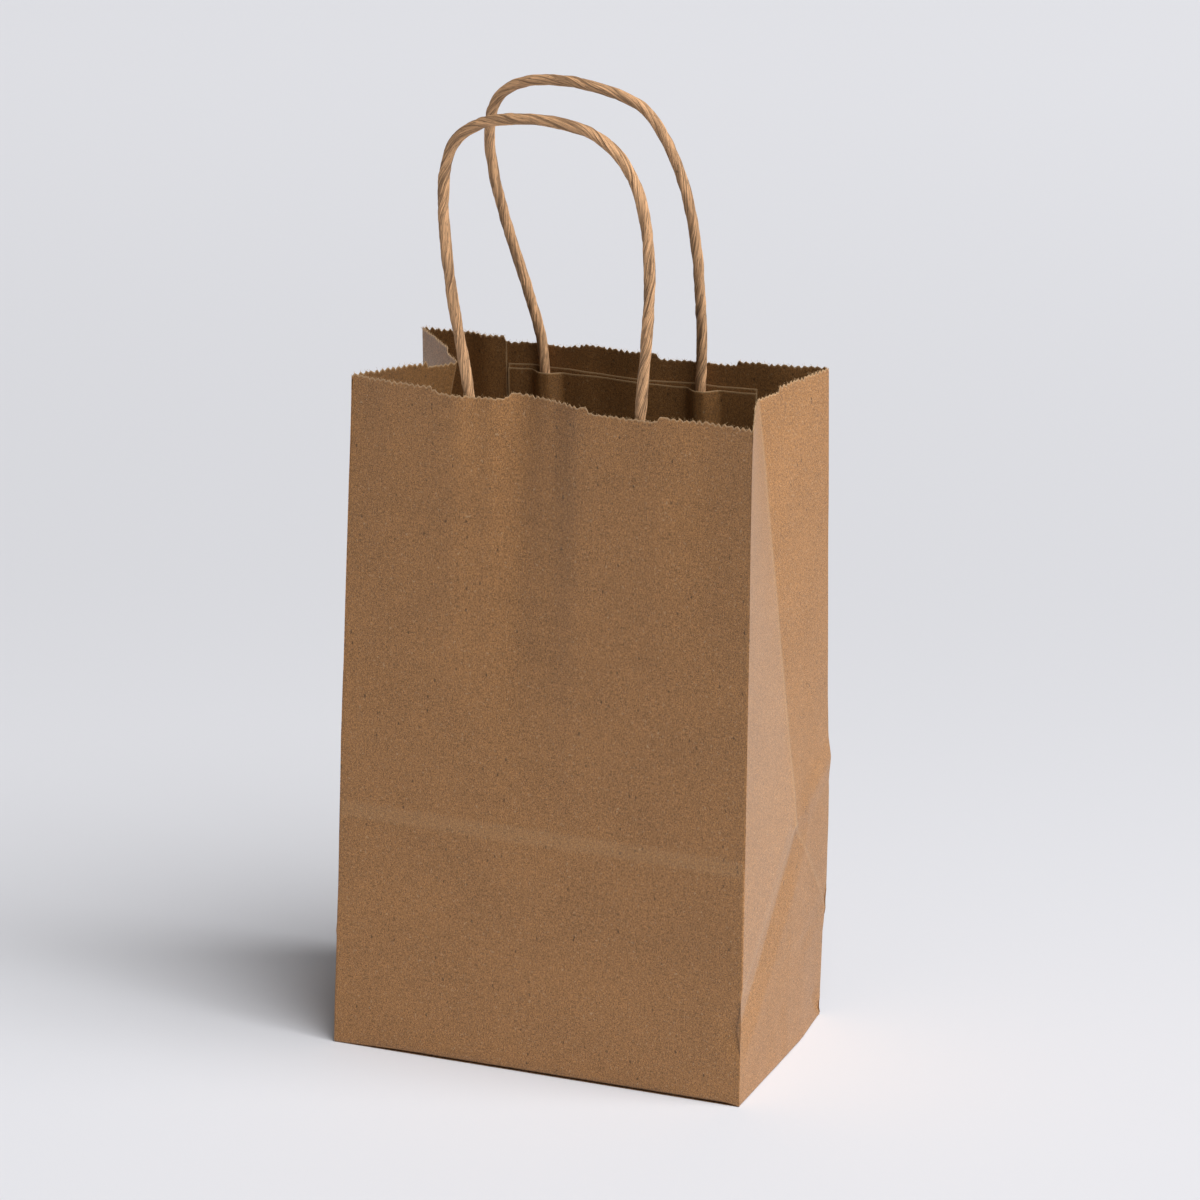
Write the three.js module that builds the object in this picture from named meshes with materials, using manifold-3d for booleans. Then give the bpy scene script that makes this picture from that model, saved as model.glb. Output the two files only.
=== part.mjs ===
// A small carrier bag of brown kraft paper with two handles of twisted paper cord.
// Millimetres, +Z up. +X runs to the right along the front wall, and the front faces -Y.
// The origin is the middle of the base, on the surface that the bag stands on.

import * as THREE from 'three';
import Module from 'manifold-3d';

// The bag when it stands square: its three outer sizes and the thickness of one layer of paper.
const width = 133;
const depth = 80;
const height = 210;
const paper = 0.2;

// Faces that are glued or pressed together keep this gap.
const gap = 0.3;

// Creases left by the flat fold. The lower ones follow from the upper by 45 degree folds.
const creaseSetback = 4;
const upperCrease = depth - creaseSetback;
const lowerCrease = upperCrease - depth / 2;

// The mouth as it stands open: how far each corner has moved from the square box at the top edge.
const mouthShift = {
  frontLeft: new THREE.Vector2(1.3, 12.1),
  frontRight: new THREE.Vector2(-0.3, 0.1),
  rearRight: new THREE.Vector2(-3.3, -2.7),
  rearLeft: new THREE.Vector2(-2.6, -5.1),
};

// Each side wall folds inwards above the upper crease. crease and top say where the fold stands at
// that crease and at the top edge: how far in, less than nothing for outwards, and how far to the
// rear of the middle. dip is how far the fold sinks at the top as it leans.
const gussets = {
  left: { crease: new THREE.Vector2(-1, 2), top: new THREE.Vector2(21.8, 4.3), dip: 1.0 },
  right: { crease: new THREE.Vector2(-2.3, 3.5), top: new THREE.Vector2(11.5, 1.5), dip: 0.5 },
};

// Waves of the long walls at the top edge, as [distance from the wall's middle, step inwards].
// They fade out towards the upper crease.
const frontWave = [[-52, -1.5], [-31, -2.2], [-21, 0], [-9, 4], [0, 2], [11, -1.8], [34, -1], [52, 0.9]];
const rearWave = [[-52, 0], [-44, 2], [-36, 1.2], [-28, -0.5], [-9, 2], [8, 4.6], [24, 2.7], [48, 2.6]];
const wavePower = 1.5;

// The mouth is cut with a toothed knife while the tube is flat. Over each handle leg the cut is lower
// and nearly smooth: cutLow gives that stretch as distances from the middle of the flat tube.
const toothPitch = 2;
const toothDepth = 0.9;
const lowToothDepth = 0.3;
const cutLow = { from: 12.5, to: 38.5, drop: 1.6 };

// The base: two glued flaps that reach past the middle, over the gussets' folded corners.
const flapOverlap = 16;

// Paper strips that hold each handle's ends on the inside of a long wall. The base strip is glued to
// the wall, the cord's ends lie on it, and the cover strip is glued over them.
const strip = { width: 86, centre: 1.5, height: 38, baseTop: 8.6, coverTop: 9.7 };
const stripLeft = strip.centre - strip.width / 2;
const stripTop = height - strip.baseTop;
const stripFoot = stripTop - strip.height;

// The tube's glued lap on the rear wall. Its inner layer ends over the end of the rear strips.
const seam = { width: 15, overStrip: 4, step: 0.2 };
const seamEdge = stripLeft + seam.overStrip;

// Twisted cord. Its ends stop short of the lower edge of the strips.
const cordDiameter = 3.5;
const cordEndMargin = 5;
const cordSides = 10;
const cordStep = 5;
const cordSeat = 2 * paper + 2 * gap + cordDiameter / 2;
const cordEnd = -(strip.baseTop + strip.height) + cordEndMargin;

// The cover strip rises over each cord. flat is the share of the reach that stays level on top, and
// the rise starts at foot, a little below the cord's end.
const bump = {
  reach: 1.7 * cordDiameter,
  flat: 0.15,
  foot: cordEnd - 0.8 * cordEndMargin,
  shares: [-1, -0.7, -0.4, -0.15, 0.15, 0.4, 0.7, 1],
};

// Lengths under this count as none.
const sliver = 0.001;

// Handle routes, end to end, as [distance from the wall's middle, height over the top edge, lean
// into the bag]. Between the strips each leg is straight, at its own distance from the middle.
const frontLegs = [-25.8, 29];
const frontLoop = [
  [-25.8, -14, 0], [-25.9, -9, 0], [-27.4, 0.5, 0], [-29.1, 9, 0], [-32.6, 26, 0], [-35.2, 44, 0],
  [-35.9, 56, 0], [-34.9, 66.5, 0], [-31.6, 74, 0], [-23.4, 79.7, 0], [-13.7, 81.8, 0], [-2.5, 82.5, 0],
  [11.8, 80.5, 0], [20.7, 75.3, 0], [27.2, 66.4, 0], [30.7, 54, 0], [31.9, 39.5, 0], [31.3, 21.6, 0],
  [30.3, 9, 0], [29.5, -2, 0], [29.1, -9, 0], [29, -14, 0],
];
const rearLegs = [-24.5, 27.2];
const rearLoop = [
  [-24.5, -16, 0], [-24.6, -9.7, 0], [-25.9, 1.5, 0.2], [-28.4, 12, 2], [-30.8, 22.6, 4.4],
  [-35, 38.2, 7.4], [-38, 54, 10.5], [-38.2, 66.7, 12.9], [-35.2, 76.5, 14.8], [-28.6, 81.9, 15.9],
  [-18.6, 84.3, 16.4], [-3.7, 83.8, 16.3], [12.5, 78.6, 15.2], [20, 68.5, 13.3], [25.3, 53.7, 10.4],
  [27.8, 35, 6.8], [28.2, 19.1, 3.7], [27.8, 5, 0.8], [27.2, -9.7, 0], [27.2, -16, 0],
];

// Columns of the long walls, the same for the walls and the strips, so that they keep their gap.
const columnPitch = 4.2;
const columnCount = 2 * Math.round(width / columnPitch / 2);
const columns = Array.from({ length: columnCount + 1 }, (_, i) => (i / columnCount - 0.5) * width);

const lerp = THREE.MathUtils.lerp;

// A wave's value between its points, eased from point to point and nothing at the corners.
function easedWave(points, along) {
  const ends = [[-width / 2, 0], ...points, [width / 2, 0]];
  const next = Math.max(1, ends.findIndex(([at]) => at >= along));
  const [from, low] = ends[next - 1];
  const [to, high] = ends[next];
  return lerp(low, high, THREE.MathUtils.smoothstep(along, from, to));
}

// The same wave as the flat columns draw it, straight from column to column.
function wave(points, along) {
  const place = THREE.MathUtils.clamp((along / width + 0.5) * columnCount, 0, columnCount);
  const i = Math.min(Math.floor(place), columnCount - 1);
  return lerp(easedWave(points, columns[i]), easedWave(points, columns[i + 1]), place - i);
}

function waveFade(z) {
  return Math.max(0, (z - upperCrease) / (height - upperCrease)) ** wavePower;
}

// A corner of the bag, seen from above, at height z.
function corner(name, z) {
  const x = name.endsWith('Left') ? -width / 2 : width / 2;
  const y = name.startsWith('front') ? -depth / 2 : depth / 2;
  return new THREE.Vector2(x, y).addScaledVector(mouthShift[name], z / height);
}

// The two long walls. inwards is the way into the bag along Y.
const frontWall = { left: 'frontLeft', right: 'frontRight', inwards: 1, wave: frontWave };
const rearWall = { left: 'rearLeft', right: 'rearRight', inwards: -1, wave: rearWave };

// A point of a long wall's outer face, or as far inside it as inset says.
function wallPoint(wall, along, z, inset = 0) {
  const point = corner(wall.left, z).lerp(corner(wall.right, z), along / width + 0.5);
  point.y += wall.inwards * (wave(wall.wave, along) * waveFade(z) + inset);
  return point;
}

// A side wall's steps inwards and to the rear from the line between its corners. off is 0 at the
// middle fold and 1 at a corner. Below the upper crease the facets meet on the 45 degree creases.
function gussetStep(gusset, off, z) {
  if (z >= upperCrease) {
    const rise = (z - upperCrease) / (height - upperCrease);
    return gusset.crease.clone().lerp(gusset.top, rise).multiplyScalar(1 - off);
  }
  const crease = upperCrease - (off * depth) / 2;
  return gusset.crease.clone().multiplyScalar((1 - off) * Math.min(1, z / crease));
}

// The two side walls, each walked the way that keeps the inside of the bag on its left.
const rightSide = { from: 'frontRight', to: 'rearRight', inwards: -1, gusset: gussets.right };
const leftSide = { from: 'rearLeft', to: 'frontLeft', inwards: 1, gusset: gussets.left };

function sidePoint(side, share, z) {
  const point = corner(side.from, z).lerp(corner(side.to, z), share);
  const step = gussetStep(side.gusset, Math.abs(2 * share - 1), z);
  point.x += side.inwards * step.x;
  point.y += step.y;
  return point;
}

// Stations round the bag, seen from above, with the inside on the left. Each one has its place at
// height z, its distance from the middle of the flat tube, and the steps that the glued lap makes
// in its outer and inner faces.
function wallStation(wall, along, outerStep = 0, innerStep = 0) {
  return {
    at: (z) => wallPoint(wall, along, z),
    flat: Math.abs(along),
    inwards: new THREE.Vector2(0, wall.inwards),
    outerStep,
    innerStep,
    dip: 0,
  };
}

function sideStation(side, share) {
  const off = Math.abs(2 * share - 1);
  return {
    at: (z) => sidePoint(side, share, z),
    flat: width / 2 - ((1 - off) * depth) / 2,
    outerStep: 0,
    innerStep: 0,
    dip: (1 - off) * side.gusset.dip,
    fallingFold: share >= 0.5,
  };
}

function rearStations() {
  const lapEdge = seamEdge - seam.width;
  const inLap = (along) => along > lapEdge && along <= seamEdge;
  const tail = (along) => paper * Math.max(0, (along + width / 2) / (lapEdge + width / 2));
  const nearEdge = (x) => Math.min(Math.abs(x - lapEdge), Math.abs(x - seamEdge)) < 2 * seam.step;
  const clear = columns.filter((x) => !nearEdge(x));
  const edges = [lapEdge - seam.step, lapEdge + seam.step, seamEdge, seamEdge + seam.step];
  return [...clear, ...edges]
    .sort((a, b) => b - a)
    .map((along) => {
      if (inLap(along)) return wallStation(rearWall, along, 0, paper);
      const step = along < lapEdge ? tail(along) : 0;
      return wallStation(rearWall, along, step, step);
    });
}

const sideShares = [0.25, 0.5, 0.75];
const stations = [
  ...columns.map((along) => wallStation(frontWall, along)),
  ...sideShares.map((share) => sideStation(rightSide, share)),
  ...rearStations(),
  ...sideShares.map((share) => sideStation(leftSide, share)),
];

// The step from a ring's outer face to one paper's thickness inside it, square to both neighbours.
function mitre(before, at, after) {
  const normal = (a, b) => new THREE.Vector2(a.y - b.y, b.x - a.x).normalize();
  const first = normal(before, at);
  const second = normal(at, after);
  return first.clone().add(second).divideScalar(1 + first.dot(second));
}

// Outer and inner points of every station at height z.
function ring(z) {
  const outline = stations.map((station) => station.at(z));
  return stations.map((station, i) => {
    const before = outline[(i + stations.length - 1) % stations.length];
    const after = outline[(i + 1) % stations.length];
    const isCorner = Boolean(station.inwards) && Math.abs(station.flat - width / 2) < sliver;
    const inwards = station.inwards && !isCorner ? station.inwards : mitre(before, outline[i], after);
    return {
      outer: outline[i].clone().addScaledVector(inwards, station.outerStep),
      inner: outline[i].clone().addScaledVector(inwards, paper + station.innerStep),
    };
  });
}

// The cut edge between two stations: its points as shares of the way and their heights.
function cutEdge(from, to) {
  const start = from.at(height);
  const length = start.distanceTo(to.at(height));
  const teeth = Math.max(1, Math.round(length / toothPitch));
  const isStep = length < toothPitch / 2;
  const count = isStep ? 1 : 2 * teeth;
  return Array.from({ length: count + 1 }, (_, i) => {
    const share = i / count;
    const flat = lerp(from.flat, to.flat, share);
    const isLow = flat > cutLow.from && flat < cutLow.to;
    const tooth = isLow ? lowToothDepth : toothDepth;
    const drop = (isLow ? cutLow.drop : 0) + (i % 2 && !isStep ? tooth : 0);
    return { share, z: height - drop - lerp(from.dip, to.dip, share) };
  });
}

// Vertices and triangles of one closed solid, gathered as it is built.
class Solid {
  positions = [];
  triangles = [];

  vertex(x, y, z) {
    this.positions.push(x, y, z);
    return this.positions.length / 3 - 1;
  }

  quad(a, b, c, d, falling = false) {
    if (falling) this.triangles.push(a, b, d, b, c, d);
    else this.triangles.push(a, b, c, a, c, d);
  }

  geometry() {
    const made = new THREE.BufferGeometry();
    made.setAttribute('position', new THREE.Float32BufferAttribute(this.positions, 3));
    made.setIndex(this.triangles);
    return made;
  }
}

// The paper tube: an outer and an inner face, joined along the cut mouth and round the foot.
function tubeGeometry() {
  const solid = new Solid();
  const foldLine = upperCrease - depth / 4;
  const low = [0, lowerCrease / 2, lowerCrease, foldLine, upperCrease];
  const middle = [1 / 3, 2 / 3].map((share) => lerp(upperCrease, stripFoot, share));
  const levels = [...low, ...middle, stripFoot, lerp(stripFoot, stripTop, 0.5), stripTop];
  const rings = levels.map((z) => {
    const points = ring(z);
    return {
      outer: points.map((p) => solid.vertex(p.outer.x, p.outer.y, z)),
      inner: points.map((p) => solid.vertex(p.inner.x, p.inner.y, z)),
    };
  });
  const count = stations.length;
  for (let level = 0; level + 1 < levels.length; level += 1) {
    const below = rings[level];
    const above = rings[level + 1];
    for (let i = 0; i < count; i += 1) {
      const j = (i + 1) % count;
      const falling = Boolean(stations[i].fallingFold);
      solid.quad(below.outer[i], below.outer[j], above.outer[j], above.outer[i], falling);
      solid.quad(below.inner[j], below.inner[i], above.inner[i], above.inner[j], !falling);
    }
  }
  const foot = rings[0];
  const band = rings[rings.length - 1];
  const mouth = ring(height);
  const firstEdge = cutEdge(stations[0], stations[1])[0];
  const edgePoint = (i, share, z) => {
    const j = (i + 1) % count;
    const outer = mouth[i].outer.clone().lerp(mouth[j].outer, share);
    const inner = mouth[i].inner.clone().lerp(mouth[j].inner, share);
    return { outer: solid.vertex(outer.x, outer.y, z), inner: solid.vertex(inner.x, inner.y, z) };
  };
  const first = edgePoint(0, 0, firstEdge.z);
  let start = first;
  for (let i = 0; i < count; i += 1) {
    const j = (i + 1) % count;
    solid.quad(foot.outer[j], foot.outer[i], foot.inner[i], foot.inner[j]);
    const cut = cutEdge(stations[i], stations[j]);
    const points = [start];
    cut.slice(1).forEach(({ share, z }, k) => {
      const isLast = i === count - 1 && k === cut.length - 2;
      points.push(isLast ? first : edgePoint(i, share, z));
    });
    start = points[points.length - 1];
    const half = Math.ceil((points.length - 1) / 2);
    for (let k = 0; k + 1 < points.length; k += 1) {
      const a = points[k];
      const b = points[k + 1];
      const foothold = k < half ? i : j;
      solid.triangles.push(band.outer[foothold], b.outer, a.outer);
      solid.triangles.push(band.inner[foothold], a.inner, b.inner);
      solid.quad(a.outer, b.outer, b.inner, a.inner);
    }
    solid.triangles.push(band.outer[i], band.outer[j], points[half].outer);
    solid.triangles.push(band.inner[j], band.inner[i], points[half].inner);
  }
  return solid.geometry();
}

// A flat layer of the base between two heights.
function layer(outline, low, high) {
  const shape = new THREE.Shape(outline.map(([x, y]) => new THREE.Vector2(x, y)));
  const made = new THREE.ExtrudeGeometry(shape, { depth: high - low, bevelEnabled: false });
  return made.translate(0, 0, low);
}

// The base from the outside in: the front flap, the rear flap over its edge, and at each end the
// side wall's folded corner, two layers thick. Each layer reaches a little into the one below.
function baseLayers() {
  const x = (width - paper) / 2;
  const y = (depth - paper) / 2;
  const lap = flapOverlap / 2;
  const tip = width / 2 - depth / 2;
  const sunk = paper / 4;
  const flap = (from, to) => [[-x, from], [x, from], [x, to], [-x, to]];
  return [
    layer(flap(-y, lap), 0, paper),
    layer(flap(-lap, y), paper - sunk, 2 * paper),
    layer([[x, -y], [x, y], [tip, 0]], paper - sunk, 4 * paper),
    layer([[-x, y], [-x, -y], [-tip, 0]], paper - sunk, 4 * paper),
  ];
}

// A sheet of paper between two grids of points, rows of columns, closed round its edge. The front
// grid faces the way that its columns crossed with its rows point.
function sheetGeometry(front, back) {
  const solid = new Solid();
  const index = (grid) => grid.map((row) => row.map((p) => solid.vertex(p.x, p.y, p.z)));
  const near = index(front);
  const far = index(back);
  const rows = front.length;
  const cols = front[0].length;
  for (let r = 0; r + 1 < rows; r += 1) {
    for (let c = 0; c + 1 < cols; c += 1) {
      solid.quad(near[r][c], near[r][c + 1], near[r + 1][c + 1], near[r + 1][c]);
      solid.quad(far[r][c + 1], far[r][c], far[r + 1][c], far[r + 1][c + 1], true);
    }
  }
  for (let c = 0; c + 1 < cols; c += 1) {
    solid.quad(near[0][c + 1], near[0][c], far[0][c], far[0][c + 1]);
    solid.quad(near[rows - 1][c], near[rows - 1][c + 1], far[rows - 1][c + 1], far[rows - 1][c]);
  }
  for (let r = 0; r + 1 < rows; r += 1) {
    solid.quad(near[r][0], near[r + 1][0], far[r + 1][0], far[r][0]);
    solid.quad(near[r + 1][cols - 1], near[r][cols - 1], far[r][cols - 1], far[r + 1][cols - 1]);
  }
  return solid.geometry();
}

// The places across a strip where its shape can change: the wall's columns and, for a cover strip,
// finer ones over each cord.
function stripColumns(wall, legs) {
  const right = stripLeft + strip.width;
  const left = wall === rearWall ? seamEdge + gap + seam.step : stripLeft;
  const fine = legs.flatMap((leg) => bump.shares.map((share) => leg + share * bump.reach));
  const inner = [...columns, ...fine].filter((x) => x > left + gap && x < right - gap);
  return [left, ...inner, right]
    .sort((a, b) => a - b)
    .filter((x, i, all) => i === 0 || x - all[i - 1] > sliver);
}

// A strip on the inside of a wall: its outer face stands lift further in than the wall's inner face.
function stripGeometry(wall, top, lift, legs = []) {
  const foot = top - strip.height;
  const middle = (foot + top) / 2;
  const bumpTop = cordEnd - gap;
  const bumpRows = [bump.foot, (bump.foot + bumpTop) / 2, bumpTop];
  const rows = [foot, ...(legs.length ? bumpRows : []), middle, top];
  const rise = (along, up) => Math.max(0, ...legs.map((leg) => {
    const off = Math.abs(along - leg) / bump.reach;
    const begun = THREE.MathUtils.smoothstep(up, bump.foot, bumpTop);
    const swell = (1 - THREE.MathUtils.smoothstep(off, bump.flat, 1)) * begun;
    const level = (wave(wall.wave, leg) - wave(wall.wave, along)) * waveFade(height + up);
    return swell * (level + cordDiameter + gap);
  }));
  const across = stripColumns(wall, legs);
  const grid = (more) => rows.map((up) => across.map((along) => {
    const z = height + up;
    const plan = wallPoint(wall, along, z, paper + lift + more + rise(along, up));
    return new THREE.Vector3(plan.x, plan.y, z);
  }));
  const outer = grid(0);
  const inner = grid(paper);
  return wall === frontWall ? sheetGeometry(outer, inner) : sheetGeometry(inner, outer);
}

// A handle's centre line. Both legs follow the wall's wave at their own place.
function handleCurve(wall, legs, loop) {
  const [left, right] = legs;
  const ends = (leg) => [[leg, cordEnd, 0], [leg, (cordEnd + loop[0][1]) / 2, 0]];
  const route = [...ends(left), ...loop, ...ends(right).reverse()];
  const points = route.map(([along, up, lean]) => {
    const z = height + up;
    const level = Math.min(z, height);
    const settled = lerp(wave(wall.wave, left), wave(wall.wave, right), (along - left) / (right - left));
    const plan = corner(wall.left, level).lerp(corner(wall.right, level), along / width + 0.5);
    plan.y += wall.inwards * (settled * waveFade(level) + cordSeat + lean);
    return new THREE.Vector3(plan.x, plan.y, z);
  });
  return new THREE.CatmullRomCurve3(points, false, 'centripetal');
}

function handleGeometry(wall, legs, loop) {
  const path = handleCurve(wall, legs, loop);
  const section = new THREE.Shape(Array.from({ length: cordSides }, (_, i) => {
    const turn = (i / cordSides) * 2 * Math.PI;
    return new THREE.Vector2(Math.cos(turn), Math.sin(turn)).multiplyScalar(cordDiameter / 2);
  }));
  const steps = Math.round(path.getLength() / cordStep);
  return new THREE.ExtrudeGeometry(section, { extrudePath: path, steps, bevelEnabled: false });
}

const manifold = await Module();
manifold.setup();

// A closed solid for joining. Vertices that agree to mergePlaces decimals are one.
const mergePlaces = 4;

function toManifold(geometry) {
  const position = geometry.getAttribute('position');
  const order = geometry.index ? [...geometry.index.array] : [...Array(position.count).keys()];
  const known = new Map();
  const vertProperties = [];
  const triVerts = order.map((i) => {
    const point = [position.getX(i), position.getY(i), position.getZ(i)];
    const key = point.map((value) => value.toFixed(mergePlaces)).join();
    if (!known.has(key)) {
      known.set(key, known.size);
      vertProperties.push(...point);
    }
    return known.get(key);
  });
  return new manifold.Manifold(new manifold.Mesh({
    numProp: 3,
    vertProperties: new Float32Array(vertProperties),
    triVerts: new Uint32Array(triVerts),
  }));
}

function fromManifold(solid) {
  const mesh = solid.getMesh();
  const made = new THREE.BufferGeometry();
  made.setAttribute('position', new THREE.BufferAttribute(new Float32Array(mesh.vertProperties), 3));
  made.setIndex(new THREE.BufferAttribute(new Uint32Array(mesh.triVerts), 1));
  return made;
}

function bagBodyGeometry() {
  const tube = toManifold(tubeGeometry());
  return fromManifold(baseLayers().reduce((body, next) => body.add(toManifold(next)), tube));
}

const kraft = { color: 0xb48a62, roughness: 0.9, metalness: 0 };
const twine = { color: 0xc79e72, roughness: 0.8, metalness: 0 };

const bag = new THREE.Group();

function addPiece(name, geometry, finish) {
  const mesh = new THREE.Mesh(geometry, new THREE.MeshStandardMaterial(finish));
  mesh.name = name;
  bag.add(mesh);
}

addPiece('bag_body', bagBodyGeometry(), kraft);
for (const [place, wall, legs, loop] of [
  ['front', frontWall, frontLegs, frontLoop],
  ['rear', rearWall, rearLegs, rearLoop],
]) {
  addPiece(`${place}_base_strip`, stripGeometry(wall, -strip.baseTop, gap), kraft);
  addPiece(`${place}_handle`, handleGeometry(wall, legs, loop), twine);
  addPiece(`${place}_cover_strip`, stripGeometry(wall, -strip.coverTop, paper + 2 * gap, legs), kraft);
}

export default bag;
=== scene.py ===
"""A small carrier bag of brown kraft paper with two twisted paper handles, on a pale floor."""
from math import cos, pi, radians, sin

import bpy
import numpy as np
from bpy.props import FloatProperty, FloatVectorProperty, IntProperty, PointerProperty
from mathutils import Matrix, Vector


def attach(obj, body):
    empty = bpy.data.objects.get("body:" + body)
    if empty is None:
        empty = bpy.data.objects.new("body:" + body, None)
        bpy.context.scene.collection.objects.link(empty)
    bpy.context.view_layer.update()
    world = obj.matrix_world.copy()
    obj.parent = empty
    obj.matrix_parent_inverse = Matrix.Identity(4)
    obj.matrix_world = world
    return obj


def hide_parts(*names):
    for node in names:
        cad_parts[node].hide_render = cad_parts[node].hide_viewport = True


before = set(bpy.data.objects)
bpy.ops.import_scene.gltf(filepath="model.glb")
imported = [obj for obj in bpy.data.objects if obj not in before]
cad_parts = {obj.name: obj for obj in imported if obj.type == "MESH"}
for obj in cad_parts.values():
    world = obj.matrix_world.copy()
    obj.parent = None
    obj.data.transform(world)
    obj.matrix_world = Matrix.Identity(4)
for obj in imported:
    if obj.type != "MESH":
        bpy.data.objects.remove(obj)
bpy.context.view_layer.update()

bl_info = {
    "name": "Kraft Carrier Bag",
    "version": (1, 0, 0),
    "blender": (4, 5, 0),
    "location": "3D View > Sidebar > Carrier Bag",
    "description": "Builds a kraft paper carrier bag with twisted paper handles",
    "category": "Add Mesh",
}

MM = 0.001

# The tube's folds: how far the crease lies under a height equal to the depth, the gap left by glue,
# and how far a fold is rounded to either side.
CREASE_SETBACK = 4.0
GLUE_GAP = 0.3
FOLD_ROUND = 0.35

# How far each corner has moved from the square box at the top edge.
MOUTH_SHIFT = {
    "front_left": (1.3, 12.1),
    "front_right": (-0.3, 0.1),
    "rear_right": (-3.3, -2.7),
    "rear_left": (-2.6, -5.1),
}

# Where each side's middle fold stands, inwards and to the rear, at the crease and at the top edge,
# and how far it sinks at the top.
GUSSETS = {
    "left": {"crease": (-1.0, 2.0), "top": (21.8, 4.3), "dip": 1.0},
    "right": {"crease": (-2.3, 3.5), "top": (11.5, 1.5), "dip": 0.5},
}

# Waves of the long walls at the top edge: distance from the wall's middle, step inwards.
WAVES = {
    "front": [(-52, -1.5), (-31, -2.2), (-21, 0), (-9, 4), (0, 2), (11, -1.8), (34, -1), (52, 0.9)],
    "rear": [(-52, 0), (-44, 2), (-36, 1.2), (-28, -0.5), (-9, 2), (8, 4.6), (24, 2.7), (48, 2.6)],
}
WAVE_POWER = 1.5

# The knife's cut: its teeth, and the lower, smoother stretch over each handle leg, as distances
# from the middle of the flat tube. It eases in and out over a longer way in the front wall.
TOOTH_PITCH = 2.0
TOOTH_DEPTH = 0.9
LOW_TOOTH_DEPTH = 0.55
LOW_CUT = (12.5, 38.5)
LOW_CUT_DROP = 1.6
LOW_CUT_EASE = (2.8, 0.8)
ROUGH_CUT = 0.4
ROUGH_CUT_PITCH = 2.3
FUZZ = 0.22
FUZZ_PITCH = 0.4

# Places where the cut is torn, raised or folded: wall, distance along it, half width, height.
TORN = [
    ("front", -12.6, 1.3, 1.0),
    ("front", 37.6, 1.5, 1.3),
    ("front", 12.2, 0.7, 0.5),
    ("front", -38.6, 0.8, 0.4),
    ("rear", -14.6, 1.6, 0.9),
    ("rear", 10.9, 1.8, 0.7),
    ("rear", -39.2, 0.7, 0.8),
]

# Dents and ridges of the right side: their ends as share of its depth and height, how far they stand
# out, and how far they reach to either side.
DENTS = [
    ((0.56, 74.0), (0.02, 25.0), -1.35, 10.0),
    ((0.56, 76.0), (1.0, 86.0), 0.8, 7.0),
    ((0.70, 34.0), (1.0, 38.8), -0.5, 6.0),
    ((0.90, 9.0), (1.0, 1.0), -0.8, 3.5),
    ((0.50, 0.0), (0.43, 17.0), -0.3, 5.0),
]

# How far the rear right edge stands to the right at these heights, and how far round that reaches.
EDGE_SHIFT = ((0, 8, 28, 38.8, 75, 110, 210), (-1.5, -1.5, -0.8, 0.4, 1.0, 0.3, 0))
EDGE_REACH = 26.0

# Hills of the paper: height, width round the sheet, and length up the sheet.
RIPPLES = ((0.22, 37, 46), (0.10, 15, 21), (0.035, 5.5, 8))
FOOT_RIPPLE = (0.16, 9, 6)
FOOT_RIPPLE_TOP = 14.0

# A pressed fold stands out this far, over this reach.
FOLD_HEIGHT = 0.16
FOLD_REACH = 1.1

# The front wall steps back at the crease: where the step starts under it, its length and its depth.
LEDGE_START = 2.6
LEDGE_LENGTH = 4.2
LEDGE_DEPTH = 0.26

# The foot: relief fades in up to this height, the edge curls under, and the front wall's edge stands
# off the floor between two shares of its width at the left and at the right.
RELIEF_START = 3.0
CURL_HEIGHT = 0.8
CURL_DEPTH = 0.75
FOOT_LIFT = 0.8
FOOT_LIFT_EASE = (0.2, 0.04)
FOOT_LIFT_TOP = 5.0

# The base under the tube: how far it lies inside the walls, the flaps' lap past the middle, and the
# air between its layers.
BASE_INSET = 0.35
BASE_LAP = 8.0
BASE_AIR = 0.03
BASE_CLEAR = 0.02
BASE_CORNER = (0.4, 0.6)

# A distance from the edge at which no torn fibre shows.
UNTORN = 10.0

# Paper strips that hold the handles: width, centre, height, and how far under the top edge they start.
STRIP_WIDTH = 86.0
STRIP_CENTRE = 1.5
STRIP_HEIGHT = 38.0
BASE_TOP = 8.6
COVER_TOP = 9.7

# A strip's distance from the lap, and how its upper edge wavers.
STRIP_CLEAR = 0.2
STRIP_WAVER = 0.22
STRIP_WAVER_PITCH = 7.0

# The rear wall's glued lap: its edge along the wall, its width, the air between its layers, and the
# lengths over which the inner layer steps out and its ripple becomes its own.
SEAM_EDGE = -37.5
SEAM_WIDTH = 15.0
LAP_AIR = 0.05
LAP_STEP = 3.0
LAP_BLEND = 8.0

# A cord's lower end, and how the cover strip swells over it: half width, flat share and ramp.
CORD_END = -41.6
BUMP_REACH = 5.95
BUMP_FLAT = 0.15
BUMP_RAMP = 4.0

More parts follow.
